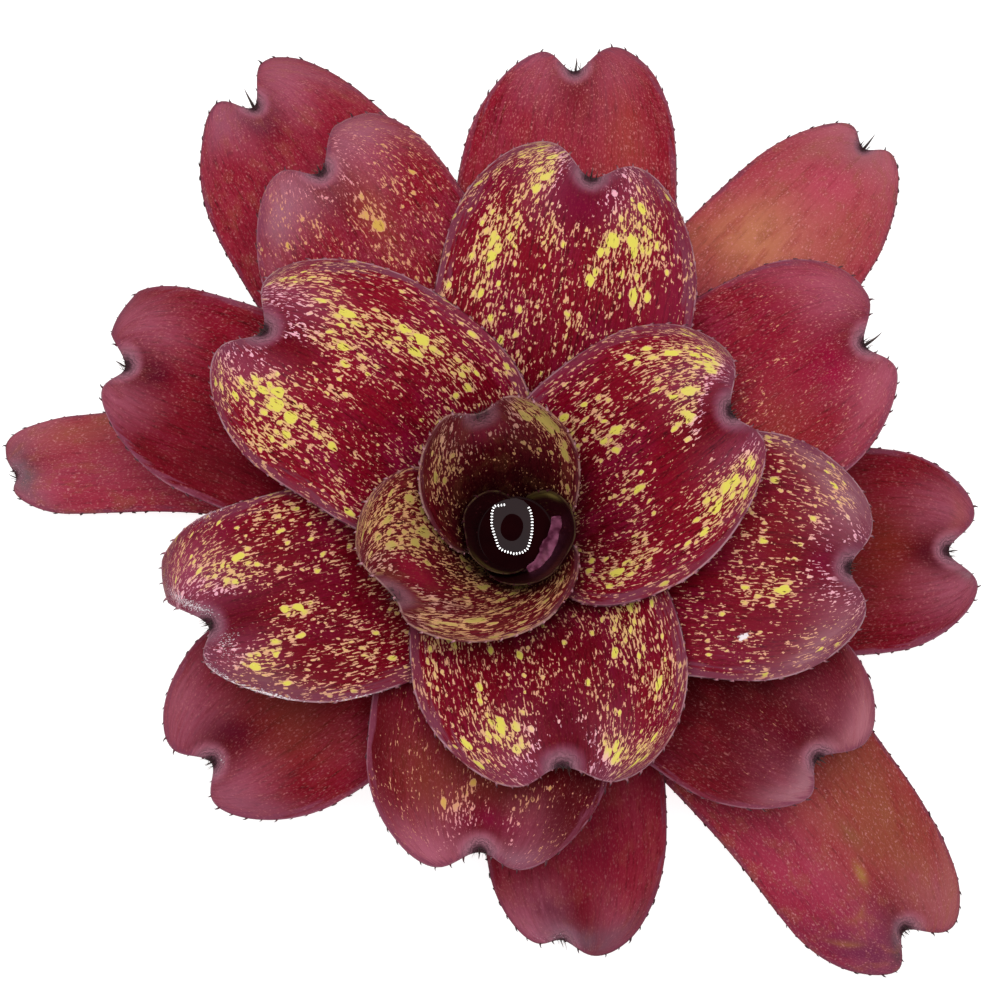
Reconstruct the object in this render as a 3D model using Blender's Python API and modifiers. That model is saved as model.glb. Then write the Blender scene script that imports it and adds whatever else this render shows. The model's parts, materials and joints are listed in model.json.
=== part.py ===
"""Neoregelia bromeliad: a flat tank rosette of 23 strap leaves on a short stem.

The origin is the middle of the stem's flat base, +Z is up and +Y is the top of the photograph.
The script works in metres. Lengths in the tables are millimetres, turned into metres by MM.
Each leaf lies on a surface of revolution round the stem. Every surface opens wider than the
one inside it, so the leaves nest like bowls and never cross.
"""

import math

import bmesh
import bpy
from mathutils import Vector

MM = 0.001

# Stem, in millimetres: a cone with a flat cut base
STEM_TOP = 58.0
STEM_BASE_RADIUS = 20.0
STEM_TOP_RADIUS = 5.5
STEM_TAPER = 1.2
STEM_STEPS = 8
STEM_SIDES = 32

# Leaf bases spiral down the stem, the youngest on top
FIRST_BASE = 55.0
LAST_BASE = 7.0
BASE_CLEARANCE = 0.85
FIRST_RISE = 74.0
LAST_RISE = 34.0
FIRST_WRAP = 105.0
LAST_WRAP = 85.0
MOST_BASE_SHARE = 0.95

# Outline of a blade, as shares of its length and half width
WIDEST_AT = 0.55
LOBE_POWER = 0.39
NOTCH_WIDTH = 0.24
TURN_FROM = 0.3

# Relief of a blade: depths and pit sizes in millimetres, the rest as shares
BLADE_FROM = 0.35
BLADE_FULL = 0.75
CHANNEL = 2.5
CHANNEL_WIDTH = 0.45
ROLL = 4.0
ROLL_POWER = 3.5
NOTCH_PIT = 5.0
PIT_LENGTH = 12.0
PIT_WIDTH = 8.0
FULL_RELIEF_REACH = 90.0
NO_RELIEF_REACH = 15.0

# Thickness, in millimetres along the middle and as shares of that elsewhere
THICKNESS = 1.1
SHEATH_SHARE = 0.7
MARGIN_SHARE = 0.6

# Marginal teeth and the longer spine in each notch, in millimetres
TOOTH_SPACING = 14.0
TOOTH_BASE = 2.2
TOOTH_LENGTH = 1.6
FIRST_TOOTH_ROW = 4
SPINE_BASE = 1.3
SPINE_LENGTH = 4.5
SPINE_LIFT = (0.0, 0.0, 1.2)

# Tank water, in millimetres
WATER_BOTTOM = 58.4
WATER_BOTTOM_RADIUS = 7.0
WATER_TOP = 76.0
WATER_TOP_RADIUS = 12.2
WATER_SIDES = 32

# One row for each leaf, from the youngest to the oldest. Angles are degrees, lengths millimetres:
# azimuth of the base, turn towards the tip, reach and height of the tip, half width, notch depth,
# slope of the tip, roundness of the tip, lean of the tip, side of the notch, narrowing past the
# widest place. The notch's side and the narrowing are shares of the half width.
LEAVES = [
    (190.0, 0.0, 18, 92, 22, 4, 72, 14, 0, 0, 0.08),
    (327.0, 0.0, 22, 97, 27, 4, 71, 16, 0, 0, 0.08),
    (108.0, 0.0, 41.5, 122, 35, 9, 48, 26, 0, 0, 0.08),
    (245.0, -40.0, 55, 112, 43, 7, 0, 28, -2, 0.12, 0.08),
    (21.8, 5.5, 95, 106, 47.5, 9.5, -24, 38, 7.5, 0, 0.08),
    (133.0, 10.0, 122, 108, 45, 12, -22, 42, -3, 0, 0.08),
    (286.5, -4.0, 96, 100, 52, 11, -12, 34, 5.5, -0.05, 0.08),
    (76.5, 1.0, 137.5, 103, 47.2, 10, -22, 44, 4, 0, 0.08),
    (201.0, -3.5, 122.5, 90, 40, 10.5, -22, 36, -12, 0, 0.08),
    (353.5, 0.0, 128, 88, 46.5, 8.5, -20, 38, 0, 0, 0.08),
    (115.5, 2.5, 161, 86, 41.5, 12, -20, 40, -12, 0, 0.08),
    (264.0, 0.0, 121, 78, 45, 8, -20, 38, -3, 0, 0.08),
    (30.0, 0.0, 155, 76, 42, 8.5, -22, 38, 6.5, -0.08, 0.08),
    (152.7, 3.0, 165, 66, 37.5, 9, -24, 38, -15.5, 0, 0.08),
    (325.9, -1.0, 144.5, 62, 40.3, 9.5, -22, 38, 7, -0.05, 0.08),
    (79.8, 2.2, 191, 60, 42, 9, -18, 44, -7, 0.06, 0.2),
    (215.7, 0.0, 145.5, 46, 41.5, 10, -22, 38, -2.5, 0, 0.15),
    (358.0, 2.0, 174, 40, 40, 11.5, -18, 36, 0, 0, 0.12),
    (116.0, 4.0, 211, 40, 43.5, 12, -20, 46, -10, 0, 0.3),
    (286.0, -5.5, 151, 30, 35, 5.5, -20, 40, 2, -0.3, 0.18),
    (48.5, 1.0, 224, 6, 34.5, 4, -22, 54, 2, 0.1, 0.28),
    (159.8, 8.8, 201, 6, 21.3, 3, -22, 36, -4, 0.25, 0.12),
    (323.8, -7.3, 215, 3, 36.3, 12, -24, 48, 7, 0, 0.08),
]

# Faces along and across each blade, and how far its columns crowd towards the margins
ROWS = 9
COLUMNS = 10
CROWDING = 0.6

# Colours, and roughness of leaf, stem and water
INNER_COLOUR = (0.20, 0.012, 0.030)
OUTER_COLOUR = (0.26, 0.035, 0.045)
STEM_COLOUR = (0.16, 0.09, 0.045)
WATER_COLOUR = (0.012, 0.006, 0.008)
LEAF_ROUGHNESS = 0.4
STEM_ROUGHNESS = 0.8
WATER_ROUGHNESS = 0.05


def smooth(start, end, x):
    """Eases from 0 to 1 as x goes from start to end."""
    t = min(max((x - start) / (end - start), 0.0), 1.0)
    return t * t * (3.0 - 2.0 * t)


def mix(a, b, share):
    return a + (b - a) * share


def stem_radius(height):
    return mix(STEM_BASE_RADIUS, STEM_TOP_RADIUS, (height / STEM_TOP) ** STEM_TAPER)


class LeafShape:
    """The mid-surface of one leaf, in millimetres."""

    MERIDIAN_STEPS = 200
    START_HANDLE = 0.40
    END_HANDLE = 0.36

    def __init__(self, order, row):
        azimuth, turn, self.reach, self.tip, self.half, self.notch, slope, *shape = row
        self.round, self.lean, self.notch_side, self.narrowing = shape
        self.age = order / (len(LEAVES) - 1)
        self.azimuth = math.radians(azimuth)
        self.turn = math.radians(turn)
        self.base = mix(FIRST_BASE, LAST_BASE, self.age)
        self.base_radius = stem_radius(self.base) + BASE_CLEARANCE
        self.wrap = math.radians(mix(FIRST_WRAP, LAST_WRAP, self.age))
        self.relief_share = smooth(NO_RELIEF_REACH, FULL_RELIEF_REACH, self.reach)
        self.walk_meridian(math.radians(mix(FIRST_RISE, LAST_RISE, self.age)), math.radians(slope))

    def walk_meridian(self, rise, slope):
        """Steps along the Bezier curve that the leaf's middle follows, with its length so far."""
        start = Vector((self.base_radius, self.base))
        end = Vector((self.reach, self.tip))
        chord = (end - start).length
        first = start + self.START_HANDLE * chord * Vector((math.cos(rise), math.sin(rise)))
        second = end - self.END_HANDLE * chord * Vector((math.cos(slope), math.sin(slope)))
        self.steps = []
        length = 0.0
        for step in range(self.MERIDIAN_STEPS + 1):
            t = step / self.MERIDIAN_STEPS
            near = 3 * (1 - t) ** 2 * t
            far = 3 * (1 - t) * t**2
            point = (1 - t) ** 3 * start + near * first + far * second + t**3 * end
            if self.steps:
                length += (point - self.steps[-1][1]).length
            self.steps.append((length, point))
        self.length = length

    def meridian(self, along):
        """The point and the direction of the middle line at this length."""
        low = 0
        high = self.MERIDIAN_STEPS
        while high - low > 1:
            middle = (low + high) // 2
            if self.steps[middle][0] > along:
                high = middle
            else:
                low = middle
        before, start = self.steps[low]
        after, end = self.steps[high]
        return start.lerp(end, (along - before) / (after - before)), (end - start).normalized()

    def half_width(self, along):
        at_base = min(self.base_radius * self.wrap, self.half * MOST_BASE_SHARE)
        share = along / self.length
        if share < WIDEST_AT:
            return mix(at_base, self.half, smooth(0.0, WIDEST_AT, share))
        return self.half * (1.0 - self.narrowing * ((share - WIDEST_AT) / (1.0 - WIDEST_AT)) ** 2)

    def end_of(self, side):
        """How far the leaf reaches at this share of its half width: rounded lobes beside a notch."""
        rounding = self.round * (1.0 - max(1.0 - side * side, 0.0) ** LOBE_POWER)
        cut = self.notch * math.exp(-(((side - self.notch_side) / NOTCH_WIDTH) ** 2))
        return self.length - rounding - cut + self.lean * side

    def relief(self, along, side):
        """Height above the meridian: a channelled middle, rolled margins and a pit at the notch."""
        blade = smooth(BLADE_FROM, BLADE_FULL, along / self.length)
        channel = CHANNEL * blade * math.exp(-((side / CHANNEL_WIDTH) ** 2))
        roll = ROLL * blade * abs(side) ** ROLL_POWER
        past = (self.length - self.notch - along) / PIT_LENGTH
        beside = (side - self.notch_side) * self.half / PIT_WIDTH
        pit = NOTCH_PIT * math.exp(-(past**2) - beside**2)
        return -self.relief_share * (channel + roll + pit)

    def point(self, u, side):
        """The point at share u of the length and share side of the half width, in metres."""
        along = u * self.end_of(side)
        middle, direction = self.meridian(along)
        across = side * self.half_width(along)
        lift = self.relief(along, side)
        radius = middle.x - direction.y * lift
        height = middle.y + direction.x * lift
        angle = self.azimuth + self.turn * smooth(TURN_FROM, 1.0, along / self.length) + across / middle.x
        return Vector((radius * math.cos(angle), radius * math.sin(angle), height)) * MM

    def thickness_share(self, u, side):
        """Thin round the stem, full along the middle, thin again at the margins."""
        body = mix(SHEATH_SHARE, 1.0, smooth(0.2, 0.5, u))
        margin = max(abs(side), smooth(0.8, 1.0, u))
        return mix(body, MARGIN_SHARE, smooth(0.7, 1.0, margin))


def make_material(name, colour, roughness):
    material = bpy.data.materials.new(name)
    material.use_nodes = True
    shader = material.node_tree.nodes["Principled BSDF"]
    shader.inputs["Base Color"].default_value = (*colour, 1.0)
    shader.inputs["Roughness"].default_value = roughness
    shader.inputs["Metallic"].default_value = 0.0
    return material


def add_object(name, mesh, material, collection):
    obj = bpy.data.objects.new(name, mesh)
    mesh.materials.append(material)
    collection.objects.link(obj)
    return obj


def grow_tooth(mesh, base_edges, outward):
    """Extrudes the edges that a tooth stands on and draws their new points together at its tip."""
    grown = bmesh.ops.extrude_edge_only(mesh, edges=base_edges)["geom"]
    new_points = [item for item in grown if isinstance(item, bmesh.types.BMVert)]
    middle = sum((vert.co for vert in new_points), Vector()) / len(new_points)
    bmesh.ops.pointmerge(mesh, verts=new_points, merge_co=middle + outward)


def split_out(mesh, edge, start, end):
    """Cuts a margin edge at two distances from its first point, and gives the edge between the cuts."""
    first = edge.verts[0]
    length = edge.calc_length()
    _, near = bmesh.utils.edge_split(edge, first, start / length)
    rest = [other for other in near.link_edges if other.is_boundary and first not in other.verts][0]
    _, far = bmesh.utils.edge_split(rest, near, (end - start) / (length - start))
    return [other for other in near.link_edges if far in other.verts][0]


def outward_of(edge):
    """In the leaf's surface, square to a margin edge and away from the blade."""
    along = (edge.verts[1].co - edge.verts[0].co).normalized()
    face = edge.link_faces[0]
    away = edge.verts[0].co - face.calc_center_median()
    return (away - away.dot(along) * along).normalized()


def add_teeth(mesh, margin, deepest):
    """A spine in the notch, then a tooth wherever the margin has run one spacing past the last."""
    beside = [edge for edge in deepest.link_edges if edge.is_boundary]
    forward = sum((outward_of(edge) for edge in beside), Vector(SPINE_LIFT)).normalized()
    stumps = []
    for edge in beside:
        share = SPINE_BASE * MM / edge.calc_length()
        _, cut = bmesh.utils.edge_split(edge, deepest, share)
        stumps.append([other for other in deepest.link_edges if cut in other.verts][0])
    grow_tooth(mesh, stumps, forward * SPINE_LENGTH * MM)

    travelled = TOOTH_SPACING * MM
    for start, end in zip(margin, margin[1:]):
        edge = mesh.edges.get((start, end))
        if edge is None:
            continue
        length = edge.calc_length()
        travelled += length
        if travelled < TOOTH_SPACING * MM or length < 2.0 * TOOTH_BASE * MM:
            continue
        outward = outward_of(edge)
        stump = split_out(mesh, edge, 0.5 * (length - TOOTH_BASE * MM), 0.5 * (length + TOOTH_BASE * MM))
        grow_tooth(mesh, [stump], outward * TOOTH_LENGTH * MM)
        travelled = 0.5 * length


def side_of(column):
    """The share of the half width that a column stands at, from -1 to 1."""
    even = 2.0 * column / COLUMNS - 1.0
    return mix(even, math.sin(even * math.pi / 2.0), CROWDING)


def make_leaf(order, row, collection):
    leaf = LeafShape(order, row)
    name = f"leaf_{order + 1:02d}"
    sheet = bmesh.new()
    weights = sheet.verts.layers.deform.verify()
    grid = bmesh.ops.create_grid(sheet, x_segments=COLUMNS, y_segments=ROWS, size=1.0)["verts"]
    for place, vert in enumerate(grid):
        u = (vert.co.y + 1.0) / 2.0
        side = side_of(place % (COLUMNS + 1))
        vert[weights][0] = leaf.thickness_share(u, side)
        vert.co = leaf.point(u, side)
    width = COLUMNS + 1
    left = grid[FIRST_TOOTH_ROW * width : ROWS * width : width]
    tip = grid[ROWS * width :]
    right = grid[(FIRST_TOOTH_ROW + 1) * width - 1 : ROWS * width : width]
    deepest = min(range(1, COLUMNS), key=lambda column: abs(side_of(column) - leaf.notch_side))
    add_teeth(sheet, left + tip + right[::-1], tip[deepest])
    for vert in sheet.verts:
        if not vert[weights]:
            vert[weights][0] = MARGIN_SHARE
    bmesh.ops.triangulate(sheet, faces=sheet.faces, quad_method="SHORT_EDGE")
    bmesh.ops.recalc_face_normals(sheet, faces=sheet.faces)
    mesh = bpy.data.meshes.new(name)
    sheet.to_mesh(mesh)
    sheet.free()
    mesh.shade_smooth()
    colour = [mix(a, b, leaf.age) for a, b in zip(INNER_COLOUR, OUTER_COLOUR)]
    obj = add_object(name, mesh, make_material(name, colour, LEAF_ROUGHNESS), collection)
    obj.vertex_groups.new(name="thickness")
    shell = obj.modifiers.new("shell", "SOLIDIFY")
    shell.thickness = THICKNESS * MM
    shell.offset = 0.0
    shell.vertex_group = "thickness"
    return obj


def turned(name, profile, sides, material, collection):
    """A solid of revolution from (radius, height) pairs in millimetres, from the top down."""
    mesh = bpy.data.meshes.new(name)
    points = [(radius * MM, 0.0, height * MM) for radius, height in profile]
    mesh.from_pydata(points, [(i, i + 1) for i in range(len(points) - 1)], [])
    obj = add_object(name, mesh, material, collection)
    screw = obj.modifiers.new("turn", "SCREW")
    screw.steps = sides
    screw.render_steps = sides
    screw.use_merge_vertices = True
    screw.merge_threshold = 0.00001
    return obj


def make_stem(collection):
    heights = [STEM_TOP * (1.0 - step / STEM_STEPS) for step in range(STEM_STEPS + 1)]
    profile = [(0.0, STEM_TOP)] + [(stem_radius(height), height) for height in heights] + [(0.0, 0.0)]
    material = make_material("stem", STEM_COLOUR, STEM_ROUGHNESS)
    return turned("stem", profile, STEM_SIDES, material, collection)


def make_water(collection):
    profile = [
        (0.0, WATER_TOP),
        (WATER_TOP_RADIUS, WATER_TOP),
        (WATER_BOTTOM_RADIUS, WATER_BOTTOM),
        (0.0, WATER_BOTTOM),
    ]
    material = make_material("tank_water", WATER_COLOUR, WATER_ROUGHNESS)
    return turned("tank_water", profile, WATER_SIDES, material, collection)


def main():
    for obj in list(bpy.data.objects):
        bpy.data.objects.remove(obj, do_unlink=True)
    plant = bpy.data.collections.new("neoregelia_bromeliad")
    bpy.context.scene.collection.children.link(plant)
    make_stem(plant)
    for order, row in enumerate(LEAVES):
        make_leaf(order, row, plant)
    make_water(plant)


main()
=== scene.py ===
# Looks of the tank bromeliad: leaf blades with their spines, the water in the tank, and the studio.
# Geometry Nodes grow each leaf again on the surface that its CAD node has, only finer.

import json
from math import atan2, cos, pi, radians, sin

import bpy
import numpy as np
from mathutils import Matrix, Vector

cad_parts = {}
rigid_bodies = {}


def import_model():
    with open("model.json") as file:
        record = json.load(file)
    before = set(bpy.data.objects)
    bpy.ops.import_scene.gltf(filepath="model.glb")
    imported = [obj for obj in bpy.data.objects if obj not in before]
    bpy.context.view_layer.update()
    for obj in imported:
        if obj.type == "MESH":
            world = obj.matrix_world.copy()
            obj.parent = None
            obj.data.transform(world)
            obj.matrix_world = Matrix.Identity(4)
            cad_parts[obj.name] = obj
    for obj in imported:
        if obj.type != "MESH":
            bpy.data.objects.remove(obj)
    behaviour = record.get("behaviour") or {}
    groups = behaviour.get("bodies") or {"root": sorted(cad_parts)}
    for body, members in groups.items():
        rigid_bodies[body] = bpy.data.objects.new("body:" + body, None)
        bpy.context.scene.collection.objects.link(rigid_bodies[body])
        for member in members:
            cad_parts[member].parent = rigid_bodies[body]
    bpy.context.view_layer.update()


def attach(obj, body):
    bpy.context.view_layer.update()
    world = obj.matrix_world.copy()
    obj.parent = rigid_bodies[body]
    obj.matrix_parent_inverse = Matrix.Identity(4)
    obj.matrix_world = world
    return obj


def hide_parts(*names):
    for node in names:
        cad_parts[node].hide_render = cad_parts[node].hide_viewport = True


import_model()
scene = bpy.context.scene
mm = 0.001


class Values(dict):
    # A dictionary whose values are also its fields
    __getattr__ = dict.__getitem__


def colour(code):
    # A screen colour such as "7d0c26" as the linear numbers that a socket takes
    parts = [int(code[i : i + 2], 16) / 255 for i in (0, 2, 4)]
    return (*[p / 12.92 if p < 0.04045 else ((p + 0.055) / 1.055) ** 2.4 for p in parts], 1.0)


class Link:
    # One output of a node. Expressions on values add Math nodes to its tree.
    def __init__(self, tree, socket=None):
        self.tree = tree
        self.socket = socket

    def node(self, kind, inputs=None, output=0, **settings):
        made = self.tree.nodes.new(kind)
        for name, value in settings.items():
            setattr(made, name, value)
        ways = [socket for socket in made.inputs if socket.enabled]
        for key, value in (inputs or {}).items():
            way = ways[key] if isinstance(key, int) else next(w for w in ways if w.name == key)
            if isinstance(value, Link):
                self.tree.links.new(value.socket, way)
            else:
                way.default_value = colour(value) if way.type == "RGBA" else value
        shown = [socket for socket in made.outputs if socket.enabled] or [None]
        return Link(self.tree, shown[output] if isinstance(output, int) else made.outputs[output])

    def geometry(self, kind, *inputs, **settings):
        return self.node("GeometryNode" + kind, *inputs, **settings)

    def other(self, name):
        return Link(self.tree, self.socket.node.outputs[name])

    def maths(self, operation, *others, kind="Math"):
        return self.node("ShaderNode" + kind, dict(enumerate((self, *others))), operation=operation)

    def __neg__(self):
        return self * -1.0

    def __rsub__(self, other):
        return -self + other

    def bell(self, width):
        # 1 where this value is 0, falling away on both sides
        share = self / width
        return (-(share * share)).maths("EXPONENT")

    def ease(self, start, end, low=0.0, high=1.0):
        # Goes smoothly from low to high as this value goes from start to end
        return self.node("ShaderNodeMapRange", {0: self, 1: start, 2: end, 3: low, 4: high},
                         interpolation_type="SMOOTHSTEP")

    def held(self):
        # Kept from 0 to 1
        return self.atLeast(0.0).atMost(1.0)

    def paint(self, under, over):
        # The colour under where this value is 0, and the colour over where it is 1
        return self.node("ShaderNodeMix", {0: self, 1: under, 2: over}, data_type="RGBA")

    def vector(self, x, y, z):
        return self.node("ShaderNodeCombineXYZ", {0: x, 1: y, 2: z})

    def parts(self):
        split = self.node("ShaderNodeSeparateXYZ", {0: self})
        return split, split.other("Y"), split.other("Z")

    def scaled(self, scale):
        return self.node("ShaderNodeVectorMath", {"Vector": self, "Scale": scale}, operation="SCALE")

    def noise(self, scale, detail=1.0, roughness=0.5):
        # Even noise round 0.5 at this place
        return self.node("ShaderNodeTexNoise", {
            "Vector": self, "Scale": scale, "Detail": detail, "Roughness": roughness}, noise_dimensions="3D")


# Each of these on a value or a vector adds one node
mathsMethods = {
    "Math": {
        "__add__": "ADD", "__radd__": "ADD", "__sub__": "SUBTRACT", "__mul__": "MULTIPLY",
        "__rmul__": "MULTIPLY", "__truediv__": "DIVIDE", "__pow__": "POWER", "__abs__": "ABSOLUTE",
        "__lt__": "LESS_THAN", "__gt__": "GREATER_THAN", "atLeast": "MAXIMUM", "atMost": "MINIMUM"},
    "VectorMath": {"plus": "ADD", "minus": "SUBTRACT", "unit": "NORMALIZE"},
}
for kind, methods in mathsMethods.items():
    for method, operation in methods.items():
        setattr(Link, method, lambda self, *others, operation=operation, kind=kind: self.maths(
            operation, *others, kind=kind))


def newTree(name, inputs):
    # A Geometry Nodes tree with inputs of these names for each kind, and a link to each of them
    tree = bpy.data.node_groups.new(name, "GeometryNodeTree")
    tree.interface.new_socket("Geometry", in_out="OUTPUT", socket_type="NodeSocketGeometry")
    for kind, labels in inputs.items():
        for label in labels.split():
            tree.interface.new_socket(label, in_out="INPUT", socket_type="NodeSocket" + kind)
    entry = tree.nodes.new("NodeGroupInput")
    return tree, Values({way.name: Link(tree, way) for way in entry.outputs if way.name})


def endTree(geometry):
    leave = geometry.tree.nodes.new("NodeGroupOutput")
    geometry.tree.links.new(geometry.socket, leave.inputs[0])


def added(name, data):
    piece = bpy.data.objects.new(name, data)
    scene.collection.objects.link(piece)
    return piece


def grow(name, tree, values):
    # Runs a tree with these input values, and leaves its result as a plain mesh
    piece = added(name, bpy.data.meshes.new(name))
    modifier = piece.modifiers.new(name, "NODES")
    modifier.node_group = tree
    for item in tree.interface.items_tree:
        if item.in_out == "INPUT":
            modifier[item.identifier] = values[item.name]
    graph = bpy.context.evaluated_depsgraph_get()
    grown = bpy.data.meshes.new_from_object(
        piece.evaluated_get(graph), preserve_all_data_layers=True, depsgraph=graph)
    piece.modifiers.remove(modifier)
    piece.data = grown
    return piece


def stored(geometry, name, value, kind="FLOAT_VECTOR"):
    inputs = {"Geometry": geometry, "Name": name, "Value": value}
    return geometry.geometry("StoreNamedAttribute", inputs, data_type=kind, domain="POINT")


def named(new, name, kind="FLOAT"):
    return new.geometry("InputNamedAttribute", {"Name": name}, data_type=kind)


def placed(geometry, **moves):
    inputs = {"Geometry": geometry, **{name.capitalize(): value for name, value in moves.items()}}
    return geometry.geometry("SetPosition", inputs)


def joined(*geometries):
    both = geometries[0].geometry("JoinGeometry")
    for geometry in geometries:
        both.tree.links.new(geometry.socket, both.socket.node.inputs[0])
    return both


# What every leaf shares, as in the part: millimetres, degrees and shares
leafForm = Values({
    "stemTop": 58.0, "stemBaseRadius": 20.0, "stemTopRadius": 5.5, "stemTaper": 1.2,
    "firstBase": 55.0, "lastBase": 7.0, "clearance": 0.85,
    "firstRise": 74.0, "lastRise": 34.0, "firstWrap": 105.0, "lastWrap": 85.0,
    "baseHandle": 0.40, "tipHandle": 0.36, "mostBaseShare": 0.95,
    "widestAt": 0.55, "lobePower": 0.39, "notchWidth": 0.24, "turnFrom": 0.3,
    "bladeFrom": 0.35, "bladeFull": 0.75, "channel": 2.5, "channelWidth": 0.45,
    "roll": 4.0, "rollPower": 3.5, "pit": 5.0, "pitLength": 12.0, "pitWidth": 8.0,
    "reliefFrom": 15.0, "reliefFull": 90.0,
    "thickness": 1.1, "sheathShare": 0.7, "rimWidth": 0.9, "marginWidth": 9.0, "marginShare": 0.6,
})

# What the grown blades add to it
leafDetail = Values({
    "rows": 88, "columns": 64, "rowCrowding": 1.3, "columnCrowding": 0.65, "meridianSteps": 200,
    "puff": 1.6, "puffSide": 0.45, "puffWidth": 0.3, "puffBefore": 16, "puffLength": 15.0,
    "ripple": 1.0, "rippleScale": 0.05, "wander": 1.6, "wanderScale": 1.9,
    "toothSpacing": 5.4, "toothLength": 1.5, "teethFrom": 0.3, "teethBeside": 0.06,
    "tuftLength": 3.0, "tuftRadius": 3.0,
})

# Thorns one unit long. The mark tells their kind to the material.
thornForms = {
    "tooth": {"steps": 3, "sides": 5, "thickness": 0.3, "hook": 0.5, "mark": 1.0},
    "spine": {"steps": 9, "sides": 8, "thickness": 0.095, "hook": 0.4, "mark": 3.0},
    "hair": {"steps": 4, "sides": 4, "thickness": 0.055, "hook": 0.5, "mark": 3.0},
}

# Length of the spine in each leaf's notch, and its lean up from the blade
leafSpines = [
    (0.0, 0.9), (0.0, 0.9), (1.5, 1.0), (2.0, 0.8), (3.0, 0.9), (3.5, 1.2), (3.0, 0.9), (4.5, 0.8),
    (3.0, 0.9), (3.0, 0.9), (4.0, 0.9), (3.5, 0.6), (7.5, 0.25), (4.5, 0.5), (4.5, 0.7), (5.5, 0.4),
    (3.5, 0.7), (4.0, 0.5), (7.5, 0.3), (3.0, 0.4), (7.0, 0.25), (3.5, 0.4), (3.0, 0.6),
]

# One row for each leaf, youngest first, as in the part: azimuth, turn, reach and height of the tip,
# half width, notch depth, slope of the tip, roundness and lean of the tip, side of the notch, narrowing
leafRows = [
    (190.0, 0.0, 18, 92, 22, 4, 72, 14, 0, 0, 0.08),
    (327.0, 0.0, 22, 97, 27, 4, 71, 16, 0, 0, 0.08),
    (108.0, 0.0, 41.5, 122, 35, 9, 48, 26, 0, 0, 0.08),
    (245.0, -40.0, 55, 112, 43, 7, 0, 28, -2, 0.12, 0.08),
    (21.8, 5.5, 95, 106, 47.5, 9.5, -24, 38, 7.5, 0, 0.08),
    (133.0, 10.0, 122, 108, 45, 12, -22, 42, -3, 0, 0.08),
    (286.5, -4.0, 96, 100, 52, 11, -12, 34, 5.5, -0.05, 0.08),
    (76.5, 1.0, 137.5, 103, 47.2, 10, -22, 44, 4, 0, 0.08),
    (201.0, -3.5, 122.5, 90, 40, 10.5, -22, 36, -12, 0, 0.08),
    (353.5, 0.0, 128, 88, 46.5, 8.5, -20, 38, 0, 0, 0.08),
    (115.5, 2.5, 161, 86, 41.5, 12, -20, 40, -12, 0, 0.08),
    (264.0, 0.0, 121, 78, 45, 8, -20, 38, -3, 0, 0.08),
    (30.0, 0.0, 155, 76, 42, 8.5, -22, 38, 6.5, -0.08, 0.08),
    (152.7, 3.0, 165, 66, 37.5, 9, -24, 38, -15.5, 0, 0.08),
    (325.9, -1.0, 144.5, 62, 40.3, 9.5, -22, 38, 7, -0.05, 0.08),
    (79.8, 2.2, 191, 60, 42, 9, -18, 44, -7, 0.06, 0.2),
    (215.7, 0.0, 145.5, 46, 41.5, 10, -22, 38, -2.5, 0, 0.15),
    (358.0, 2.0, 174, 40, 40, 11.5, -18, 36, 0, 0, 0.12),
    (116.0, 4.0, 211, 40, 43.5, 12, -20, 46, -10, 0, 0.3),
    (286.0, -5.5, 151, 30, 35, 5.5, -20, 40, 2, -0.3, 0.18),
    (48.5, 1.0, 224, 6, 34.5, 4, -22, 54, 2, 0.1, 0.28),
    (159.8, 8.8, 201, 6, 21.3, 3, -22, 36, -4, 0.25, 0.12),
    (323.8, -7.3, 215, 3, 36.3, 12, -24, 48, 7, 0, 0.08),
]


def mix(a, b, share):
    return a + (b - a) * share


def smooth(start, end, x):
    t = min(max((x - start) / (end - start), 0.0), 1.0)
    return t * t * (3.0 - 2.0 * t)


def bladeTree():
    tree, given = newTree("leafBlade", {
        "Vector": "base baseHandle tipHandle tip",
        "Float": "azimuth turn length baseHalfWidth halfWidth notch roundness lean notchSide narrowing "
                 "relief puff ripple wander thickness age seed "
                 "toothSpacing toothLength spineLength spineLean tuftLength",
        "Material": "leafMaterial spineMaterial"})
    new = Link(tree)
    sheet = bladeSheet(new, given)
    shell = bladeShell(new, given, sheet)
    whole = new.geometry("RealizeInstances", {0: joined(shell, *bladeThorns(new, given, sheet))})
    whole = new.geometry("SetMaterial", {"Geometry": whole, "Material": given.leafMaterial})
    whole = new.geometry("SetMaterial", {
        "Geometry": whole, "Selection": named(new, "spike") > 0.5, "Material": given.spineMaterial})
    endTree(new.geometry("SetShadeSmooth", {"Geometry": whole}))
    return tree


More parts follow.
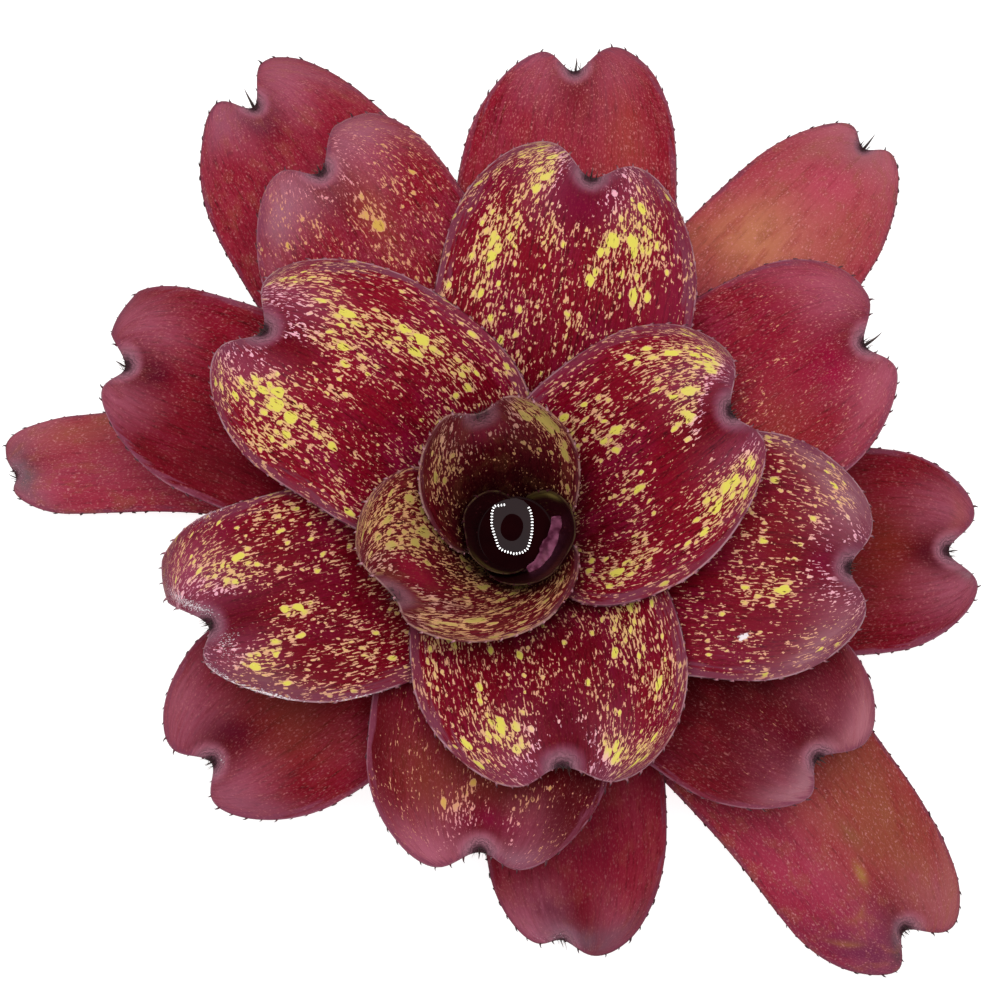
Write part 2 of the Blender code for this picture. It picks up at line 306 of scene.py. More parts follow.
def bladeSheet(new, given):
    form, detail = leafForm, leafDetail
    length, seed = given.length, given.seed

    # A flat grid, its rows crowded towards the tip and its columns towards the margins.
    # Side counts against the grid's X, so that its faces look up once it is bent.
    grid = new.geometry("MeshGrid", {0: 2.0, 1: 1.0, 2: detail.columns + 1, 3: detail.rows + 1})
    gridX, gridY, _ = new.geometry("InputPosition").parts()
    u = 1 - (0.5 - gridY).atLeast(0.0) ** detail.rowCrowding
    crowding = detail.columnCrowding
    side = -(gridX * (1 - crowding) + (gridX * (pi / 2)).maths("SINE") * crowding)

    # Where the blade ends at this side: two lobes beside a notch
    rounding = given.roundness * (1 - (1 - side * side).atLeast(0.0) ** form.lobePower)
    notch = given.notch * (side - given.notchSide).bell(form.notchWidth)
    unevenness = new.vector(side, 0.0, seed).noise(detail.wanderScale) - 0.5
    uneven = given.wander * unevenness * abs(side).ease(0.1, 0.4)
    along = u * (length - rounding - notch + given.lean * side + uneven)
    share = along / length
    widening = share.ease(0.0, form.widestAt)
    halfWidth = given.baseHalfWidth * (1 - widening) + given.halfWidth * widening
    past = ((share - form.widestAt) / (1 - form.widestAt)).atLeast(0.0)
    halfWidth = halfWidth * (1 - given.narrowing * past * past)
    across = side * halfWidth

    # Height over the meridian: channelled middle, rolled margins, pit at the notch, puffed lobes
    blade = share.ease(form.bladeFrom, form.bladeFull)
    channel = form.channel * blade * side.bell(form.channelWidth)
    roll = form.roll * blade * abs(side) ** form.rollPower
    beforePit = length - given.notch - along
    besidePit = (side - given.notchSide) * given.halfWidth
    pit = form.pit * beforePit.bell(form.pitLength) * besidePit.bell(form.pitWidth)
    puffed = (abs(side) - detail.puffSide).bell(detail.puffWidth)
    puff = given.puff * puffed * (length - along - detail.puffBefore).bell(detail.puffLength)
    rippling = new.vector(across, along, seed * 9).noise(detail.rippleScale) - 0.5
    ripple = given.ripple * rippling * blade
    lift = puff + ripple * 2 - given.relief * (channel + roll + pit)

    # The meridian is a Bezier curve in the plane of radius and height
    meridian = new.geometry("CurvePrimitiveBezierSegment", {
        "Resolution": detail.meridianSteps, "Start": given.base, "Start Handle": given.baseHandle,
        "End Handle": given.tipHandle, "End": given.tip})
    middle = new.geometry("SampleCurve", {"Curves": meridian, "Length": along}, "Position", mode="LENGTH")
    middleRadius, _, middleHeight = middle.parts()
    outwards, _, upwards = middle.other("Tangent").parts()
    radius = middleRadius - upwards * lift
    height = middleHeight + outwards * lift
    angle = given.azimuth + given.turn * share.ease(form.turnFrom, 1.0) + across / middleRadius
    place = new.vector(radius * angle.maths("COSINE"), radius * angle.maths("SINE"), height).scaled(mm)

    # Veins run beside the margin and meet behind the notch. Flecks and ribs follow them.
    left = ((length - along) / given.roundness).atMost(1.0).atLeast(0.0)
    width = (1 - (1 - left) ** (1 / form.lobePower)).maths("SQRT").atLeast(0.08)
    vein = side / width
    travelled = along + abs(vein) * given.halfWidth * (1 - width)
    pitDistance = (beforePit * beforePit + besidePit * besidePit).maths("SQRT")
    sheet = stored(grid, "veinPlace", new.vector(vein * given.halfWidth, travelled, seed * 40))
    sheet = stored(sheet, "bladePlace", new.vector(side, u, given.age))
    sheet = stored(sheet, "pitDistance", pitDistance, "FLOAT")
    sheet = placed(sheet, position=place)

    # The margin, all round but for the cut base
    rim = new.geometry("SeparateGeometry", {"Geometry": sheet, "Selection": margin(new, 0.004)},
                   domain="EDGE")
    fromRim = new.geometry("Proximity", {0: rim}, "Distance", target_element="EDGES") / mm
    return stored(sheet, "rimDistance", fromRim, "FLOAT")


def margin(new, fromShare):
    # The edges of the sheet past this share of its length
    _, u, _ = named(new, "bladePlace", "FLOAT_VECTOR").parts()
    return (new.geometry("InputMeshEdgeNeighbors") < 1.5) * (u > fromShare)


def bladeShell(new, given, sheet):
    # The two faces of the blade, which meet in a rounded rim
    form = leafForm
    _, u, _ = named(new, "bladePlace", "FLOAT_VECTOR").parts()
    fromRim = named(new, "rimDistance")
    normal = new.geometry("InputNormal")
    inside = 1 - (fromRim / form.rimWidth).atMost(1.0)
    rounded = (1 - inside * inside).maths("SQRT") * u.ease(0.0, 0.01)
    body = given.thickness * u.ease(0.2, 0.5, form.sheathShare, 1.0) * rounded
    body = body * fromRim.ease(0.0, form.marginWidth, form.marginShare, 1.0)
    upper = placed(stored(sheet, "underside", 0.0, "FLOAT"), offset=normal.scaled(body * (mm / 2)))
    lower = placed(stored(sheet, "underside", 1.0, "FLOAT"), offset=normal.scaled(body * (-mm / 2)))
    lower = lower.geometry("FlipFaces", {0: lower})
    shell = new.geometry("MergeByDistance", {0: joined(upper, lower), 2: 1e-6})
    return stored(shell, "spike", 0.0, "FLOAT")


def bladeThorns(new, given, sheet):
    # Hooked teeth along the margin, one long spine in the notch, and a tuft of dark hairs round it
    detail, seed = leafDetail, given.seed
    side, u, _ = named(new, "bladePlace", "FLOAT_VECTOR").parts()
    position = new.geometry("InputPosition")
    inner = new.geometry("BlurAttribute", {"Value": position, "Iterations": 3},
                     data_type="FLOAT_VECTOR")
    sheet = stored(sheet, "outward", position.minus(inner).unit())
    sheet = stored(sheet, "upward", new.geometry("InputNormal"))
    outward = named(new, "outward", "FLOAT_VECTOR")
    upward = named(new, "upward", "FLOAT_VECTOR")
    chance = new.node("FunctionNodeRandomValue", {"Min": 0.45, "Max": 1.25, "Seed": seed * 31},
                      data_type="FLOAT")
    aside = new.node("FunctionNodeRandomValue", {
        "Min": (-0.4, -0.4, -0.3), "Max": (0.4, 0.4, 0.4), "Seed": seed * 17}, data_type="FLOAT_VECTOR")
    tipAngle = given.azimuth + given.turn
    tipRadius, _, tipHeight = given.tip.parts()
    cosine, sine = tipAngle.maths("COSINE"), tipAngle.maths("SINE")
    tipPlace = new.vector(tipRadius * cosine, tipRadius * sine, tipHeight)
    away = new.vector(cosine, sine, 0.0)

    def planted(kind, points, chosen, rise, towards, size):
        # Thorns that rise this way and hook that way
        turn = new.node("FunctionNodeAxesToRotation", {"Primary Axis": rise, "Secondary Axis": towards},
                        primary_axis="Z", secondary_axis="X")
        return new.geometry("InstanceOnPoints", {
            "Points": points, "Selection": chosen, "Instance": thorn(new, **thornForms[kind]),
            "Rotation": turn, "Scale": new.vector(size, size, size)})

    line = new.geometry("MeshToCurve", {0: sheet, 1: margin(new, detail.teethFrom)})
    line = new.geometry("ResampleCurve", {"Curve": line, "Length": given.toothSpacing * mm},
                    mode="LENGTH")
    teeth = planted("tooth", line, abs(side) > detail.teethBeside, outward.plus(aside.scaled(0.8)),
                    tipPlace.scaled(mm).minus(position), given.toothLength * mm * chance)
    lean = given.spineLean
    fromNotch = abs(side - given.notchSide) + (1 - u) * 50
    nearest = new.geometry("AttributeStatistic", {"Geometry": sheet, "Attribute": fromNotch}, "Min",
                       data_type="FLOAT")
    hasSpine = given.spineLength > 0.1
    spine = planted("spine", sheet, (fromNotch < nearest + 0.0001) * hasSpine,
                    away.scaled(lean.maths("COSINE")).plus(upward.scaled(lean.maths("SINE"))),
                    upward.plus(away.scaled(0.3)), given.spineLength * mm)
    hairs = planted("hair", sheet, (named(new, "pitDistance") < detail.tuftRadius) * hasSpine,
                    upward.scaled(0.5).plus(away.scaled(0.35)).plus(aside.scaled(1.6)), away,
                    given.tuftLength * mm * chance)
    return teeth, spine, hairs


def thorn(new, steps, sides, thickness, hook, mark):
    # A thorn that rises along Z and hooks towards X
    line = new.geometry("CurvePrimitiveBezierSegment", {
        "Resolution": steps, "Start": (0.0, 0.0, -0.25), "Start Handle": (0.0, 0.0, 0.3),
        "End Handle": (0.1 * hook, 0.0, 0.8), "End": (hook, 0.0, 1.0)})
    along = new.geometry("SplineParameter")
    ring = new.geometry("CurvePrimitiveCircle", {"Resolution": sides, "Radius": thickness})
    line = stored(line, "spike", along + mark, "FLOAT")
    return new.geometry("CurveToMesh", {
        "Curve": line, "Profile Curve": ring, "Scale": (1 - along) ** 0.8 + 0.04, "Fill Caps": True})


def leafValues(order, row):
    # The tree's inputs for one leaf, from its row in the table
    form, detail = leafForm, leafDetail
    azimuth, turn, reach, tip, half, notch, slope, roundness, lean, notchSide, narrowing = row
    age = order / (len(leafRows) - 1)
    base = mix(form.firstBase, form.lastBase, age)
    stem = mix(form.stemBaseRadius, form.stemTopRadius, (base / form.stemTop) ** form.stemTaper)
    start = Vector((stem + form.clearance, 0.0, base))
    end = Vector((reach, 0.0, tip))
    chord = (end - start).length
    rise = radians(mix(form.firstRise, form.lastRise, age))
    fall = radians(slope)
    startHandle = start + form.baseHandle * chord * Vector((cos(rise), 0.0, sin(rise)))
    endHandle = end - form.tipHandle * chord * Vector((cos(fall), 0.0, sin(fall)))
    steps = [t / detail.meridianSteps for t in range(detail.meridianSteps + 1)]
    points = [(1 - t) ** 3 * start + 3 * (1 - t) ** 2 * t * startHandle
              + 3 * (1 - t) * t**2 * endHandle + t**3 * end for t in steps]
    length = sum((b - a).length for a, b in zip(points, points[1:]))
    wrap = radians(mix(form.firstWrap, form.lastWrap, age))
    relief = smooth(form.reliefFrom, form.reliefFull, reach)
    spineLength, spineLean = leafSpines[order]
    return {
        "base": start, "baseHandle": startHandle, "tipHandle": endHandle, "tip": end,
        "azimuth": radians(azimuth), "turn": radians(turn), "length": length,
        "baseHalfWidth": min(start.x * wrap, half * form.mostBaseShare),
        "halfWidth": float(half), "notch": float(notch), "roundness": float(roundness), "lean": float(lean),
        "notchSide": float(notchSide), "narrowing": float(narrowing),
        "relief": relief, "puff": detail.puff * relief, "ripple": detail.ripple * relief,
        "wander": detail.wander * relief, "thickness": form.thickness,
        "age": age, "seed": float(order + 1),
        "toothSpacing": detail.toothSpacing, "toothLength": detail.toothLength,
        "spineLength": spineLength, "spineLean": spineLean, "tuftLength": detail.tuftLength,
    }


# Leaf finishes by age. Colours are screen colours, the band is in millimetres, and the rest are shares.
leafAges = ("youngest_leaf", "tank_leaf", "inner_leaf", "middle_leaf", "outer_leaf")
leafLooks = {
    # The youngest and tank leaves stand deep in the tank, and their darker colours are in part painted shade
    # of the tank
    "deep": ("130204", "2a0206", "40020a", "4c030b", "5c0b17"),
    "body": ("200307", "590512", "7d031b", "870921", "9a1a31"),
    "rose": ("25060c", "62141e", "780c30", "861e38", "9c3244"),
    # Lobe: the lobes' pale bloom and a painted sheen
    "lobe": ("2b0a10", "6a262e", "96506a", "ae6076", "b4627a"),
    "margin": ("2a0c12", "5c2732", "713448", "7c3a50", "74344a"),
    "edge": ("5a4a30", "b08a80", "c49aa4", "a0687a", "6c3242"),
    "under": ("3a141e", "6a3340", "74404e", "7a4652", "7c4c56"),
    "speck": ("5a3428", "a8604c", "c4705f", "d8888a", "d88e92"),
    "tan": ("5c4428", "c8906a", "d89e80", "cf8e70", "cc8562"),
    "yellow": ("6a6030", "b09a50", "d9cd58", "cca34e", "c8a254"),
    "pink": ("6a3238", "c08a7c", "ecaabb", "dc8f98", "dc8f98"),
    "ochre": ("3c2a18", "6a4424", "7a3a2c", "863c30", "925038"),
    "tooth": ("3c161c", "b07c84", "9c6470", "5c2a36", "3c1620"),
    "mottle": (0.0, 0.15, 0.0, 0.22, 0.42),
    "speckle": (0.08, 0.15, 0.14, 0.42, 0.5),
    "band": (1.0, 1.8, 4.2, 2.0, 1.6),
    # How much of the lobe colour, bloom and painted sheen, each age takes
    "bloom": (0.2, 0.45, 0.7, 0.85, 0.95),
    "roughness": (0.4, 0.42, 0.42, 0.46, 0.5),
    "pit": (0.0, 0.5, 1.0, 1.0, 1.0),
}

# Noises that follow the veins: cycles in a millimetre across and along, detail, roughness and shift
veinNoises = {
    "ribs": (0.8, 0.035, 3.0, 0.6, 0.0), "fibres": (0.95, 0.2, 2.0, 0.65, 13.0),
    "fields": (0.06, 0.03, 2.0, 0.5, 7.0), "lobes": (0.5, 0.04, 3.0, 0.6, 9.0),
    "tints": (0.12, 0.06, 3.0, 0.6, 61.0), "band": (0.45, 0.05, 3.0, 0.6, 3.0),
    "bandBreaks": (0.02, 0.03, 1.0, 0.5, 5.0), "edge": (0.1, 0.12, 2.0, 0.5, 4.0),
    "clouds": (0.16, 0.1, 3.0, 0.65, 10.0), "specks": (1.8, 0.8, 2.0, 0.6, 11.0),
    "clumps": (0.11, 0.06, 2.0, 0.6, 17.0), "smallClumps": (0.45, 0.2, 2.0, 0.5, 19.0),
    "streaks": (1.25, 0.3, 3.0, 0.55, 21.0), "bendAcross": (0.5, 0.35, 2.0, 0.5, 81.0),
    "bendAlong": (0.5, 0.35, 2.0, 0.5, 83.0), "rings": (0.3, 0.3, 3.0, 0.6, 33.0),
    "crust": (1.7, 0.8, 3.0, 0.7, 71.0),
}

# Flecks: how far they clump and bend, and for dots the cells in a millimetre, scarcity, and growth where
# the leaf is more flecked
fleckForm = Values({
    "clumps": 2.9, "smallClumps": 0.9, "bend": 1.8, "stretch": 0.72,
    "fine": (0.62, 0.42, 0.15), "medium": (0.34, 0.5, 0.27), "large": (0.185, 0.56, 0.33)})

# The pit at the notch, in millimetres from its middle, and what is alike on all leaves
pitLook = Values({"start": 8.5, "full": 4.0, "heartStart": 5.2, "heartFull": 1.6, "ringScale": 3.4,
                  "bloom": "a0707f", "ring": "4a2230", "heart": "1e0a10", "crust": "efe6ea"})


def newMaterial(name):
    material = bpy.data.materials.new(name)
    material.use_nodes = True
    material.node_tree.nodes.clear()
    return material, Link(material.node_tree)


def endMaterial(new, inputs, kind="ShaderNodeBsdfPrincipled"):
    new.node("ShaderNodeOutputMaterial", {"Surface": new.node(kind, inputs)})


def attribute(new, name, output="Fac"):
    return new.node("ShaderNodeAttribute", None, output, attribute_name=name)


def objectPlace(new):
    return new.node("ShaderNodeTexCoord", None, "Object")


def leafMaterial(name, look):
    material, new = newMaterial(name)
    acrossVein, alongVein, seed = attribute(new, "veinPlace", "Vector").parts()
    side, u, _ = attribute(new, "bladePlace", "Vector").parts()
    fromRim, fromPit, under, flecked, crusted, shaded, tinted = (
        attribute(new, field) for field in
        ("rimDistance", "pitDistance", "underside", "flecked", "crusted", "shaded", "tinted"))

    def grain(field):
        x, y, detail, roughness, shift = veinNoises[field]
        return new.vector(acrossVein * x, alongVein * y, seed + shift).noise(1.0, detail, roughness)

    # Rosier in soft fields and on the ribs, darker between the ribs, and darker where shade is painted:
    # painted shade of overlapping leaves, partly the leaf's own darker tone
    ribs, fibres, fields = grain("ribs"), grain("fibres"), grain("fields")
    rosyRibs = (ribs - 0.5) * 1.9 * fromRim.ease(26.0, 4.0, 0.2, 1.0)
    rosy = fields.ease(0.42, 0.68) * 0.7 + rosyRibs + (fibres - 0.5) * 1.3
    shade = shaded * fields.ease(0.3, 0.6, 1.15, 0.8)
    furrows = (0.5 - ribs) * 2.7 + (0.49 - fibres).atLeast(0.0) * 4.0

    # Dark crimson before the notch, and on the lobes a pale bloom together with a painted sheen
    beforeNotch = side.bell(0.26) * fromPit.ease(34.0, 15.0)
    lobes = fromPit.ease(36.0, 10.0) * (1 - side.bell(0.33)) * 0.95 + fromPit.ease(10.5, 6.5) * 0.9
    lobes = lobes.atMost(1.0) * grain("lobes").ease(0.3, 0.6, 0.65, 1.0) * look.bloom

    # Tints placed one by one, worn away between the ribs
    # Some tints are painted shade, where leaves overlap or lie deep in the tank, and some are painted
    # highlights on the lobes
    worn = (grain("tints").ease(0.3, 0.6, 0.6, 1.1) + (ribs - 0.5)).held()

    # Purple margin of uneven width, with a thin pale line at the very edge
    band = (fromRim - (grain("band") - 0.5) * look.band * 5.0).ease(look.band * 1.4, look.band * 0.4)
    band = band * grain("bandBreaks").ease(0.35, 0.6, 0.45, 0.9)
    edge = fromRim.ease(0.85, 0.35) * 0.6 * grain("edge").ease(0.4, 0.58)

    # Fine pale scales in denser and thinner clouds, fainter on dark leaves and where shade is painted
    clouds = grain("clouds")
    pale = (1.1 - shaded * 1.4).atLeast(0.3)
    specks = grain("specks").ease(0.54, 0.68) * clouds.ease(0.35, 0.65, 0.35, 1.0)

    # Flecks: fine dashes, dots that merge into blotches, all thicker where the leaf is more flecked
    loose = (grain("clumps") - 0.5) * fleckForm.clumps + (grain("smallClumps") - 0.5) * fleckForm.smallClumps
    amount = (flecked + loose * flecked.ease(0.0, 0.3)).atLeast(0.0)
    dashes = grain("streaks") - (0.685 - amount * 0.13).atLeast(0.53)
    bentAcross = acrossVein + seed + (grain("bendAcross") - 0.5) * fleckForm.bend
    bentAlong = alongVein * fleckForm.stretch + (grain("bendAlong") - 0.5) * fleckForm.bend

    def dotted(scale, scarcity, growth):
        # Round dots in cells
        cells = new.node("ShaderNodeTexVoronoi", {
            "Vector": new.vector(bentAcross, bentAlong, 0.0), "Scale": scale, "Randomness": 1.0},
            voronoi_dimensions="2D")
        lot, _, _ = cells.other("Color").parts()
        return lot * 0.55 + amount * growth - scarcity - cells

    fine, medium, large = (dotted(*size) for size in (fleckForm.fine, fleckForm.medium, fleckForm.large))
    cracks = fibres.ease(0.36, 0.43)
    dashMask = dashes.ease(0.0, 0.025) * amount.ease(0.0, 0.15)
    dotMask = fine.ease(0.0, 0.05).atLeast(medium.ease(0.0, 0.03) * cracks)
    dotMask = dotMask.atLeast(large.ease(0.0, 0.02) * cracks) * flecked.ease(0.05, 0.2)
    marks = dashMask.atLeast(dotMask) * fromPit.ease(7.0, 11.0) * (1 - under)
    tone = (medium.ease(0.02, 0.2) * 0.55).atLeast(large.ease(0.0, 0.12) * 0.95) + amount.ease(0.8, 1.6) * 0.3
    markColour = tone.atMost(1.0).paint(look.tan, look.yellow)
    rosyMarks = fromPit.ease(24.0, 12.0) * (1 - amount.ease(1.0, 1.5) * 0.85)
    markColour = rosyMarks.paint(markColour, look.pink)
    markColour = (fromRim.ease(5.0, 1.0) * 0.35).paint(markColour, look.margin)
    scurf = (fine - amount * fleckForm.fine[2] + 0.15).ease(0.0, 0.1) * clouds.ease(0.3, 0.6, 0.5, 1.0)

    # The pit at the notch: grey-purple, wrinkled in rings, darker round the spine
    rings = (fromPit * pitLook.ringScale + grain("rings") * 22).maths("SINE") * 0.5 + 0.5
    pit = fromPit.ease(pitLook.start, pitLook.full) * (fibres * 0.8 + 0.55).atMost(1.0) * look.pit
    heart = fromPit.ease(pitLook.heartStart, pitLook.heartFull)

    # Mineral crust, in grains
    crust = (grain("crust") - (0.7 - crusted * 0.22)).ease(0.0, 0.12) * crusted.ease(0.0, 0.1)

    # From dark towards the base to crimson on the blade, partly the sheath's own tone and partly painted
    # shade where the leaves overlap, under one coat after another
    ground = u.ease(0.18, 0.72).paint(look.deep, look.body)
    for amount, coat in (
        (rosy.held(), look.rose), (shade.held(), look.deep), (furrows.held(), look.deep),
        (beforeNotch * (0.5 * look.pit), look.deep), (lobes * (fibres - 0.5 + 0.95).atMost(1.0), look.lobe),
        (tinted * worn, attribute(new, "tint", "Color")), (band, look.margin), (edge, look.edge),
        (clouds.ease(0.48, 0.66) * pale * look.mottle, look.ochre),
        (specks * pale * look.speckle, look.speck), (scurf * (1 - under) * pale * look.speckle, look.speck),
        (marks * u.ease(0.2, 0.65, 0.6, 0.95), markColour),
        (pit * 0.75, pitLook.bloom), (pit * rings * 0.4, pitLook.ring),
        (heart * (0.88 * look.pit), pitLook.heart), (crust * 0.9, pitLook.crust),
        (under * 0.85, fibres.ease(0.35, 0.7).paint(look.body, look.under)),
    ):
        ground = amount.paint(ground, coat)

    height = ribs * 0.9 + fibres * 0.5 + pit * rings * 2.0
    bump = new.node("ShaderNodeBump", {"Strength": 0.6, "Distance": 0.0004, "Height": height})
    rough = look.roughness + specks * 0.1 + marks * 0.08 + pit * 0.2 + under * 0.15 + (ribs - 0.5) * 0.15
    endMaterial(new, {"Base Color": ground, "Roughness": rough, "Normal": bump, "Specular IOR Level": 0.12})
    return material


spineLook = Values({"toothTip": "241014", "root": "1c0c0f", "tip": "574a46", "roughness": 0.55})


def spineMaterial(name, tooth):
    # Teeth in the leaf's own tone with dark tips; the spine and hairs of the notch nearly black
    material, new = newMaterial(name)
    look, spike = spineLook, attribute(new, "spike")
    teeth = (spike - 1).ease(0.1, 0.8).paint(tooth, look.toothTip)
    spine = (spike - 3).ease(0.0, 1.0).paint(look.root, look.tip)
    endMaterial(new, {"Base Color": spike.ease(2.4, 2.6).paint(teeth, spine), "Roughness": look.roughness})
    return material


# Markings placed one by one, in hundredths: an even amount for each leaf, youngest first
leafEven = {
    "flecked": [15, 15, 42, 90, 60, 76, 70, 76, 70, 52, 42, 20, 10, 0, 6, 0, 0, 0, 0, 0, 0, 0, 0],
    # Shaded is painted shade of overlapping leaves, partly the leaf's own darker tone
    "shaded": [0, 0, 0, 0, 10, 0, 15, 15, 10, 20, 15, 50, 15, 30, 50, 0, 40, 45, 32, 60, 10, 10, 20],
}
